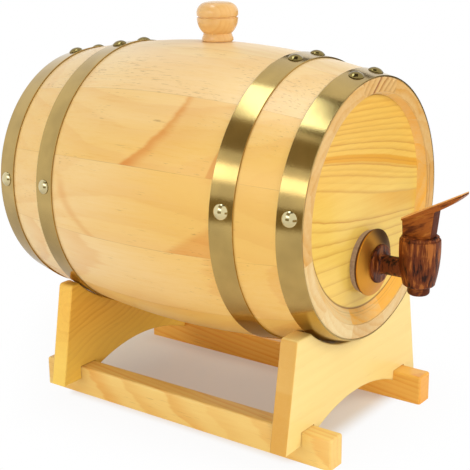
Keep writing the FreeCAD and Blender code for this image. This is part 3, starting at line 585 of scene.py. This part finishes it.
# %% The tap's dark wood
def tap_wood(name, turn, shift, light, middle, dark, width=1.0, bright=(90, 99), end_grain_and_painted_shadow=0.08, painted_light_share=0.0,
             contrast=1.0):
    """Streaks of three browns, with a painted highlight along the lever's rounded top and a little painted shade low on
    the key. End faces are darker: end grain, and on the key also painted shadow under the lever.
    """
    f = Finish(name)
    where = f.local(TAP, turn)
    end = f.rise(abs(f.apart(f.normal(turn))[1]), 0.6, 0.85)
    streak = f.cloud(f.stretched(where, 0.5 / width, 0.05, 0.5 / width, shift), 1.0, 4.0, 0.6)
    zone = f.cloud(f.stretched(where, 0.12, 0.06, 0.12, shift), 1.0, 1.0)
    _, y, z = f.apart(f.local(TAP))
    high = f.rise(z + streak * 12.0, *bright)
    # painted highlight along the lever's rounded top
    lit = f.rise(z + y * BLADE_RISE, 41.0, 41.5) * painted_light_share
    pores = f.rise(f.cloud(f.stretched(where, 3.0, 0.3, 3.0, shift), 1.0, 2.0), 0.1, 0.22)
    # painted shade low on the key
    shade = f.rise(y - z, -34.0, -18.0) * painted_light_share * 0.12
    # end faces darker: end grain, and on the key also painted shadow under the lever
    level = (streak + zone * 0.4) * contrast + end * end_grain_and_painted_shadow - high * 0.07 + shade
    colour = f.mix(tone(*middle), tone(*dark), f.rise(level, -0.01, 0.14))
    colour = f.mix(colour, tone(*light), f.rise(level, -0.04, -0.2) * 0.85)
    colour = f.mix(f.mix(colour, tone(34, 14, 7), pores * 0.5), tone(236, 176, 100), lit)
    rough = end * 0.2 + f.rise(streak, -0.2, 0.2, 0.46, 0.36)
    return f.done({"Base Color": colour, "Roughness": rough, "Coat Weight": 0.05, "Coat Roughness": 0.2,
                   "Specular IOR Level": 0.15, "Normal": f.bump(streak - pores, 0.00015, 0.35)})


tap_body_wood = tap_wood("tap_wood_body", (90, 0, 0), 3.0, (172, 102, 44), (104, 48, 17), (34, 11, 5),
                         bright=(11.5, 13.5))
tap_key_wood = tap_wood("tap_wood_key", (-28, 0, 0), 11.0, (214, 146, 64), (156, 86, 30), (84, 36, 12),
                        width=1.6, end_grain_and_painted_shadow=0.35, painted_light_share=0.85, contrast=0.62)

# %% [markdown]
# ## Metal and rubber
# The hoops are brushed, so their gloss is slightly uneven. The studs are
# polished, with a painted dark reflection on the top ones. The disc is satin,
# with a painted dark reflection at its upper right.

# %% Metals and rubber
def brass(name, colour, rough, grain, middle, painted_dark_reflection=None, limits=(60, 80), across=0.0):
    """Brass with a painted dark reflection above one height, or to one side of it."""
    f = Finish(name)
    where = f.local(middle)
    speck = f.cloud(f.stretched(where, 0.9, 0.9, 0.9), 1.0, 3.0, 0.7)
    patch = f.cloud(f.stretched(where, 0.05, 0.05, 0.05), 1.0, 2.0)
    shade = f.mix(tone(*colour), tone(*[c * 0.92 for c in colour]), f.rise(patch, -0.2, 0.25))
    if painted_dark_reflection:
        x, _, z = f.apart(where)
        shade = f.mix(shade, tone(*painted_dark_reflection), f.rise(z + x * across, *limits))
    return f.done({"Base Color": shade, "Metallic": 1.0, "Roughness": speck * 0.06 + rough,
                   "Normal": f.bump(speck, 0.00004, grain)})


hoop_brass = brass("hoop_brass", (192, 163, 99), 0.14, 0.5, CASK_MIDDLE)
# painted dark reflection: the top studs darker, and the disc darker at its upper right
stud_brass = brass("stud_brass", (222, 208, 160), 0.07, 0.05, CASK_MIDDLE, (138, 120, 70))
disc_brass = brass("disc_brass", (226, 160, 62), 0.42, 0.1, TAP, (112, 78, 42), (2, 26), 1.6)
f = Finish("zinc_screw")
speck = f.cloud(f.local(), 0.9)
screw_zinc = f.done({"Base Color": tone(190, 190, 194), "Metallic": 1.0, "Roughness": speck * 0.2 + 0.35})
f = Finish("grey_rubber")
speck = f.cloud(f.local(), 0.6, 3.0)
# painted shadow on the washer close behind the disc
painted_disc_shadow = f.rise(f.apart(f.local(TAP))[1], 36.9, 36.3)        # darker close behind the disc
grey = f.mix(tone(178, 158, 148), tone(160, 140, 130), f.rise(speck, -0.2, 0.2))
rubber = f.done({"Base Color": f.mix(grey, tone(84, 50, 34), painted_disc_shadow), "Roughness": 0.5, "Specular IOR Level": 0.3,
                 "Normal": f.bump(speck, 0.0001, 0.1)})
print("finishes:", len(bpy.data.materials))

# %% [markdown]
# ## Pieces
# Turned pieces start as one outline beside their axis, which is then spun.
# Flat ones are an outline with a thickness. A few tools serve them all, and
# the last makes the finished object, with soft shading between real edges.

# %% Tools for all pieces
WELD, CLOSE = 0.001, 0.01         # points nearer than this are one, or lie in the same place


def bent(start, via, end, steps):
    """Points from start to end on the circle through via, without start."""
    (ax, ay), (bx, by), (cx, cy) = start, via, end
    d = 2 * (ax * (by - cy) + bx * (cy - ay) + cx * (ay - by))
    ux = ((ax * ax + ay * ay) * (by - cy) + (bx * bx + by * by) * (cy - ay) + (cx * cx + cy * cy) * (ay - by)) / d
    uy = ((ax * ax + ay * ay) * (cx - bx) + (bx * bx + by * by) * (ax - cx) + (cx * cx + cy * cy) * (bx - ax)) / d
    first = math.atan2(ay - uy, ax - ux)
    sweep = (math.atan2(cy - uy, cx - ux) - first) % (2 * math.pi)
    if (math.atan2(by - uy, bx - ux) - first) % (2 * math.pi) > sweep:
        sweep -= 2 * math.pi
    reach = math.hypot(ax - ux, ay - uy)
    return [(ux + reach * math.cos(first + sweep * i / steps), uy + reach * math.sin(first + sweep * i / steps))
            for i in range(1, steps + 1)]


def outline(shape, points, plane):
    """A flat face through the points, in one of the three planes."""
    spot = {"xz": lambda u, v: (u, 0, v), "yz": lambda u, v: (0, u, v), "xy": lambda u, v: (u, v, 0)}[plane]
    return shape.faces.new([shape.verts.new(spot(u, v)) for u, v in points])


def move(shape, way):
    bmesh.ops.translate(shape, vec=way, verts=shape.verts)


def turn(shape, degrees):
    """About the Y axis."""
    bmesh.ops.rotate(shape, cent=(0, 0, 0), matrix=Matrix.Rotation(math.radians(degrees), 3, "Y"), verts=shape.verts)


def closed(shape):
    """Fills the sides that a spin or an extrusion left open, and turns all faces outwards."""
    bmesh.ops.holes_fill(shape, edges=[e for e in shape.edges if e.is_boundary])
    bmesh.ops.recalc_face_normals(shape, faces=shape.faces)
    return shape


def spun(points, axis, steps):
    """A closed outline turned right round the Y or Z axis."""
    way = Vector({"y": (0, 1, 0), "z": (0, 0, 1)}[axis])
    shape = bmesh.new()
    face = outline(shape, points, "x" + axis)
    bmesh.ops.delete(shape, geom=[face], context="FACES_ONLY")
    on_axis = [e for e in shape.edges if all(v.co.cross(way).length < 1e-9 for v in e.verts)]
    bmesh.ops.delete(shape, geom=on_axis, context="EDGES")
    bmesh.ops.spin(shape, geom=[*shape.verts, *shape.edges], cent=(0, 0, 0), axis=way, angle=2 * math.pi, steps=steps,
                   use_merge=True)
    bmesh.ops.remove_doubles(shape, verts=shape.verts, dist=WELD)
    bmesh.ops.recalc_face_normals(shape, faces=shape.faces)
    return shape


def slab(points, thick, plane, middle=0.0):
    """A flat outline with a thickness, centred on its plane or beside it."""
    shape = bmesh.new()
    face = outline(shape, points, plane)
    way = {"xz": (0, 1, 0), "yz": (1, 0, 0), "xy": (0, 0, 1)}[plane]
    move(shape, [w * (middle - thick / 2) for w in way])
    made = bmesh.ops.extrude_face_region(shape, geom=[face])["geom"]
    far = [g for g in made if isinstance(g, bmesh.types.BMVert)]
    bmesh.ops.translate(shape, vec=[w * thick for w in way], verts=far)
    return closed(shape)


def soften(shape, size, segments=2, test=None, angle=0.5):
    """Rounds the edges where two faces meet at more than an angle (radians), and that pass a test."""
    sharp = [e for e in shape.edges
             if len(e.link_faces) == 2 and e.calc_face_angle(0) > angle and (test is None or test(e))]
    bmesh.ops.bevel(shape, geom=sharp, affect="EDGES", offset=size, offset_type="OFFSET", segments=segments,
                    profile=0.5, material=-1, clamp_overlap=True)


def piece(name, shape, finish, body, slot, *nodes, crease=0.6):
    """The finished object: millimetres become metres, and it rides on its body."""
    bmesh.ops.scale(shape, vec=(MM, MM, MM), verts=shape.verts)
    open_edges = sum(not e.is_manifold for e in shape.edges)
    for side in shape.faces:
        side.smooth = True
    for edge in shape.edges:
        edge.smooth = len(edge.link_faces) == 2 and edge.calc_face_angle(0) < crease
    mesh = bpy.data.meshes.new(name)
    shape.to_mesh(mesh)
    shape.free()
    mesh.materials.append(finish)
    item = bpy.data.objects.new(name, mesh)
    bpy.context.scene.collection.objects.link(item)
    level = item.modifiers.new("even_shading", "WEIGHTED_NORMAL")
    level.keep_sharp = True
    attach(item, body)
    if nodes:
        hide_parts(*nodes)
    print(f"{name:20s} {len(mesh.polygons):6d} faces, {open_edges} open edges")


def joined(first, second, way="UNION"):
    """Two closed shapes made one, or the second cut out of the first."""
    objects = []
    for shape in (first, second):
        mesh = bpy.data.meshes.new("joining")
        shape.to_mesh(mesh)
        shape.free()
        item = bpy.data.objects.new("joining", mesh)
        bpy.context.scene.collection.objects.link(item)
        objects.append(item)
    step = objects[0].modifiers.new("join", "BOOLEAN")
    step.object, step.operation, step.solver = objects[1], way, "EXACT"
    bpy.context.view_layer.update()
    ready = objects[0].evaluated_get(bpy.context.evaluated_depsgraph_get())
    shape = bmesh.new()
    shape.from_mesh(ready.to_mesh())
    for item in objects:
        bpy.data.objects.remove(item)
    return shape


# %% [markdown]
# ### Staves
# A stave is one twelfth of the cask. Its outline, with the bow outside and
# the groove for the heads inside, is spun through thirty degrees.

# %% Staves
BEVEL_TOP = (HALF - 0.8, CHIME - CHIME_LAND - 0.1)        # a stave's end is a little rounded into its bevel
BUNG_HOLE = [(0, 60), (9.8, 60), (10.85, 120), (0, 120)]  # a slightly tapered cutter


def stave_shape():
    """A stave about the Y axis, with its middle on top."""
    shape = bmesh.new()
    seat, land, wall = LIP + GROOVE, CHIME - CHIME_LAND, FACE - GROOVE_WIDE
    rear = [(HALF, CHIME), (HALF, land), BEVEL_TOP, (FACE, LIP), (FACE, seat), (wall, seat), (wall, INNER_LIP)]
    front = [(-y, radius) for y, radius in reversed(rear)]
    face = outline(shape, [front[-1], *rear, *front[:-1]], "yz")
    outside = [e for e in face.edges if all(abs(v.co.z - CHIME) < CLOSE for v in e.verts)]
    inside = [e for e in face.edges if all(abs(v.co.z - INNER_LIP) < CLOSE for v in e.verts)]
    bmesh.ops.subdivide_edges(shape, edges=outside, cuts=55)
    bmesh.ops.subdivide_edges(shape, edges=inside, cuts=23)
    hollow = BILGE - STAVE_WALL
    for v in shape.verts:
        if v.co.z > CHIME - CLOSE:
            v.co.z = girth(v.co.y)
        elif abs(v.co.z - INNER_LIP) < CLOSE:
            v.co.z = hollow - (hollow - INNER_LIP) * (v.co.y / wall) ** 2
    turn(shape, -STAVE_TURN / 2)
    bmesh.ops.spin(shape, geom=[*shape.verts, *shape.edges, *shape.faces], cent=(0, 0, 0), axis=(0, 1, 0),
                   angle=math.radians(STAVE_TURN), steps=10)
    bmesh.ops.remove_doubles(shape, verts=shape.verts, dist=WELD)
    closed(shape)

    def end_edge(e, radius):
        return all(abs(abs(v.co.y) - HALF) < CLOSE and abs(math.hypot(v.co.x, v.co.z) - radius) < 0.6 for v in e.verts)

    soften(shape, 0.9, 3, lambda e: end_edge(e, CHIME), 0.4)
    soften(shape, 0.25, 2, lambda e: end_edge(e, land), 0.4)
    return shape


for number in range(1, STAVES + 1):
    shape = stave_shape()
    if number == 1:
        hole = spun(BUNG_HOLE, "z", 64)
        move(hole, (BUNG[0], 0, 0))
        turn(hole, stave_angle(number))
        shape = joined(shape, hole, "DIFFERENCE")
    turn(shape, -stave_angle(number))
    lip = [v for v in shape.verts if abs(v.co.y + FACE) < CLOSE and math.hypot(v.co.x, v.co.z) < LIP + 0.5]
    bmesh.ops.translate(shape, vec=(0, 0, LIP_RISE), verts=lip)
    move(shape, CASK_MIDDLE)
    piece(f"cask_stave_{number:02d}", shape, cask_wood[number], "cask", "cask_wood", f"stave_{number:02d}")

# %% Heads
# Each head's rim lies in the groove, with a hair of room. The front one
# reaches further out, because its lip is raised.
HEAD_WALL, HEAD_ROOM = 14, 0.05
TAP_HOLE = [(0, -140), (8.3, -140), (8.3, -100), (0, -100)]
for name, side, finish, reach in (("front", -1, front_wood, 4.85), ("rear", 1, rear_wood, 3.35)):
    rim, inner, back = LIP + reach, FACE - GROOVE_WIDE + HEAD_ROOM, FACE - HEAD_WALL
    points = [(0, FACE), (rim - 0.6, FACE), (rim, FACE - 0.6), (rim, inner), (INNER_LIP - HEAD_ROOM, inner),
              (LIP - 4.8, back), (0, back)]
    shape = spun([(radius, side * y) for radius, y in points], "y", 128)
    if name == "front":
        hole = spun(TAP_HOLE, "y", 48)
        move(hole, (0, 0, TAP[2] - AXIS))
        shape = joined(shape, hole, "DIFFERENCE")
    move(shape, CASK_MIDDLE)
    piece(f"cask_head_{name}", shape, finish, "cask", "head_wood", f"head_{name}")

# %% [markdown]
# ### Hoops and studs
# A hoop is a flat band bent round the cask, a little conical because the
# cask narrows there. Four studs with round heads hold each hoop.

# %% Hoops
for name, middle in HOOPS.items():
    front, rear = middle - HOOP_HALF, middle + HOOP_HALF
    shape = spun([(girth(front) + HOOP_IN, front), (girth(front) + HOOP_OUT, front), (girth(rear) + HOOP_OUT, rear),
                  (girth(rear) + HOOP_IN, rear)], "y", 180)
    soften(shape, 0.22)
    move(shape, CASK_MIDDLE)
    piece(f"brass_hoop_{name}", shape, hoop_brass, "cask", "hoop_metal", f"hoop_{name}")

# %% Studs
STUD_HIGH, STUD_LOW, STUD_DRIFT = 8.0, 84.5, 2.2      # degrees from the top, the low ones a little lower at the rear
STUD = [(0, 0), (5.2, 0), (5.2, 0.4), (5.0, 0.62), *bent((5.0, 0.62), (2.9, 2.05), (0, 2.6), 8)]
for name, middle in HOOPS.items():
    shape = bmesh.new()
    slope = math.atan(-middle / math.sqrt(BOW ** 2 - middle ** 2))
    low = STUD_LOW + STUD_DRIFT * middle / HOOPS["rear_chime"]
    for angle in (STUD_HIGH, -STUD_HIGH, low, -low):
        stud = spun(STUD, "z", 40)
        seated = Matrix.Translation((0, middle, girth(middle) + HOOP_OUT)) @ Matrix.Rotation(slope, 4, "X")
        stud.transform(Matrix.Rotation(math.radians(-angle), 4, "Y") @ seated)
        mesh = bpy.data.meshes.new("one_stud")
        stud.to_mesh(mesh)
        stud.free()
        shape.from_mesh(mesh)
        bpy.data.meshes.remove(mesh)
    move(shape, CASK_MIDDLE)
    piece(f"brass_studs_{name}", shape, stud_brass, "cask", "stud_metal", f"studs_{name}", crease=1.0)

# %% [markdown]
# ### Bung
# The bung is turned: a plug, a small foot ring, a short neck and a knob with
# a fine groove round its widest place.

# %% Bung
points = [(0, -21.0), (8.6, -21.0), (9.6, -20.0), (10.5, -0.4), (10.5, 0.3)]
points += [(11.1, 0.3), (11.4, 0.7), (11.3, 2.2), (10.7, 3.6), (10.3, 5.0), (10.0, 5.5)]
points += bent(points[-1], (13.9, 11.1), (14.8, 16.6), 14)
points += [(13.9, 16.9), (13.9, 17.6), (14.75, 17.95)]
points += bent(points[-1], (12.7, 25.2), (8.1, 27.35), 14)
points += bent(points[-1], (4.1, 27.85), (0, 28.0), 5)
shape = spun(points, "z", 96)
move(shape, BUNG)
piece("turned_bung", shape, bung_wood, "bung", "bung_wood", "bung", crease=0.7)

# %% [markdown]
# ### Tap
# The disc is a thin dished plate in front of a rubber washer. The tap's body
# is turned, with a round neck and a flange towards the cask. The key is a
# plug with a spout below, a wedge above and a thin lever on its slanted top.

# %% Disc and washer
points = [(8.25, 30.0), (13.4, 30.0), *bent((13.4, 30.0), (18.1, 31.64), (22.8, 33.9), 10)]
points += [*bent(points[-1], (23.08, 34.02), (23.2, 34.3), 3), (23.2, 34.8), (22.8, 34.8)]
points += [*bent(points[-1], (18.1, 32.54), (13.4, 30.9), 10), (8.25, 30.9)]
shape = spun(points, "y", 120)
move(shape, TAP)
piece("brass_disc", shape, disc_brass, "cask", "escutcheon_metal", "tap_disc", crease=0.5)
for node, finish in (("tap_washer", rubber), ("stand_screws", screw_zinc)):
    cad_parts[node].data.materials.clear()
    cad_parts[node].data.materials.append(finish)

# %% The tap's body
points = [(7.75, -9.8), (9.2, -9.8), *bent((9.2, -9.8), (10.4, -9.3), (10.9, -8.1), 5)]
points += [*bent(points[-1], (13.3, 5.0), (13.75, 21.6), 20)]
points += [(13.65, 22.1), (13.3, 22.4), (12.8, 22.45), (12.75, 23.4)]        # the collar under the top
points += [*bent(points[-1], (12.5, 24.1), (11.74, 24.4), 5), (8.65, 24.4)]
barrel = spun(points, "z", 96)
points = [(0, 9.6), (6.6, 9.6), (6.6, 25.5), *bent((6.6, 25.5), (7.3, 27.2), (9.0, 27.9), 6), (12.2, 27.9)]
points += [*bent(points[-1], (13.05, 28.25), (13.4, 29.1), 5), (13.4, 29.98), (8.2, 29.98), (7.2, 66.7), (0, 66.7)]
neck = spun(points, "y", 80)
shape = joined(barrel, neck)
move(shape, TAP)
piece("turned_tap_body", shape, tap_body_wood, "cask", "tap_wood", "tap_body")

# %% The key
points = [(3, -16.2), (5.3, -16.2), *bent((5.3, -16.2), (6.86, -15.56), (7.5, -14.0), 5), (7.5, -9.8)]
points += [(7.7, -9.8), (8.6, 24.4), (7.3, 24.75), (0, 24.75), (0, 6), (3, 6)]
plug = spun(points, "z", 80)
wedge = slab([(-9.6, 24.7), (11.2, 24.7), (11.8, 34.4), (-11.8, 43.3)], 10, "yz")
soften(wedge, 1.0, 2, lambda e: abs(e.verts[0].co.z - e.verts[1].co.z) > 8, 0.4)

# the lever is what its side view and its plan have in common
TIP, SIDE = -31.4, 5.8
side_view = [(11.8, 34.2), (11.8, 36.2), BLADE_HEEL, (TIP, 58.25), (TIP, 56.7)]
side_view += bent(side_view[-1], (-21.6, 48.6), (-11.8, 43.1), 10)
plan = [(-SIDE, 11.8), (SIDE, 11.8), (SIDE, -27.9), *bent((SIDE, -27.9), (4.775, -30.375), (2.3, TIP), 6), (-2.3, TIP)]
plan += bent(plan[-1], (-4.775, -30.375), (-SIDE, -27.9), 6)
lever = joined(slab(side_view, 14.0, "yz"), slab(plan, 60.0, "xy", 50.0), "INTERSECT")


def on_blade_top(e):
    heel, height = BLADE_HEEL
    level = all(abs(v.co.z - height - (heel - v.co.y) * BLADE_RISE) < 0.05 for v in e.verts)
    return level and min(v.co.y for v in e.verts) < heel - 0.1


soften(lever, 0.6, 3, on_blade_top, 0.5)
shape = joined(joined(wedge, lever), plug)
move(shape, TAP)
piece("tap_key_and_lever", shape, tap_key_wood, "key", "tap_wood", "tap_key")

# %% [markdown]
# ### Stand
# Two boards carry the cask in their hollows, and two rails run under them
# in notches. Every edge that a hand touches is rounded.

# %% Boards
ARCH_FOOT, ARCH_TOP = 14.5, 26.4


def board(name, y, seat, finish, cad, narrower=0.0):
    """A board with a hollow of the radius seat, which may be narrower at the rear face."""
    horn = math.sqrt(seat * seat - (AXIS - HORN_TOP) ** 2)
    points = [(-FOOT_END, FOOT), (-NOTCH_FAR, FOOT), (-NOTCH_FAR, NOTCH_TOP), (-RAIL_NEAR, NOTCH_TOP)]
    points += [(-RAIL_NEAR, ARCH_FOOT), *bent((-RAIL_NEAR, ARCH_FOOT), (0, ARCH_TOP), (RAIL_NEAR, ARCH_FOOT), 40)]
    points += [(RAIL_NEAR, NOTCH_TOP), (NOTCH_FAR, NOTCH_TOP), (NOTCH_FAR, FOOT), (FOOT_END, FOOT)]
    points += [(HORN_END, HORN_TOP), (horn, HORN_TOP), *bent((horn, HORN_TOP), (0, AXIS - seat), (-horn, HORN_TOP), 56)]
    points += [(-HORN_END, HORN_TOP)]
    shape = slab(points, BOARD_WALL, "xz")
    for v in shape.verts:
        if v.co.y > 0 and abs(math.hypot(v.co.x, v.co.z - AXIS) - seat) < CLOSE:
            v.co.x *= (seat - narrower) / seat
            if v.co.z < HORN_TOP - CLOSE:
                v.co.z = AXIS - math.sqrt((seat - narrower) ** 2 - v.co.x ** 2)

    def upright_corner(e):
        return all(abs(abs(v.co.x) - HORN_END) < 0.05 and v.co.z > HORN_TOP - 0.1 for v in e.verts)

    def rim(e):
        first, second = (v.co for v in e.verts)
        flat = all(abs(abs(v.co.y) - BOARD_WALL / 2) < CLOSE for v in e.verts) and first.y * second.y > 0
        mid = (first + second) / 2
        return flat and not (RAIL_NEAR - 0.1 < abs(mid.x) < NOTCH_FAR + 0.1 and mid.z < NOTCH_TOP + 0.1)

    soften(shape, 2.4, 5, upright_corner, 0.3)
    soften(shape, 1.2, 3, rim, 0.5)
    move(shape, (0, y, 0))
    piece(name, shape, finish, "stand", "stand_wood", cad)


def seat_under(y, side):
    """Radius of a board's hollow: it clears the staves on its inner side and the hoop over it."""
    inner = y - side * BOARD_WALL / 2 - MIDDLE
    banded = inner if side > 0 else HOOPS["front_chime"] + HOOP_HALF
    return max(girth(inner), girth(banded) + HOOP_OUT) + SEAT_GAP


board("board_front", BOARD_FRONT, seat_under(BOARD_FRONT, -1), board_front_wood, "stand_board_front")
board("board_rear", BOARD_REAR, seat_under(BOARD_REAR, 1), board_rear_wood, "stand_board_rear",
      narrower=1.9)

# %% Rails
for name, side, finish in (("left", -1, rail_left_wood), ("right", 1, rail_right_wood)):
    near, far = side * RAIL_NEAR, side * RAIL_FAR
    shape = slab([(near, 0), (far, 0), (far, RAIL_TOP), (near, RAIL_TOP)], RAIL_LONG, "xz", RAIL_MIDDLE)
    soften(shape, 1.8, 4, lambda e: max(v.co.z for v in e.verts) > CLOSE, 0.5)
    piece(f"rail_{name}", shape, finish, "stand", "stand_wood", f"stand_rail_{name}")
